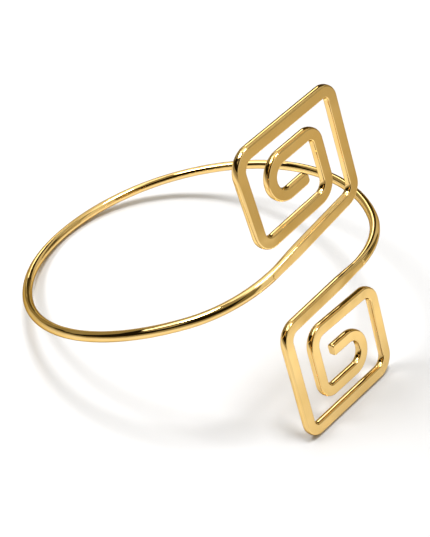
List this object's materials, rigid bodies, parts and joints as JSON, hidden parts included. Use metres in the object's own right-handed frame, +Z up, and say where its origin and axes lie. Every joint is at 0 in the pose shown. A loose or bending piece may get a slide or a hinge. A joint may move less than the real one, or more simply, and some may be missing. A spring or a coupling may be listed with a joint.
{
  "type": "upper arm cuff",
  "caption": "Upper arm cuff bent from brass wire, its ends passing each other at the front and pressed flat into square spirals.",
  "frame": {"origin": "the floor under the middle of the part's outline", "axes": "+Z up as the cuff stands, +Y along the bottom side of the lower spiral, +X to the front, where the spirals are"},
  "size_m": [0.0945, 0.0844, 0.0689],
  "materials": {
    "wire": "polished"
  },
  "bodies": {
    "root": {"cuff": "wire"}
  },
  "joints": []
}
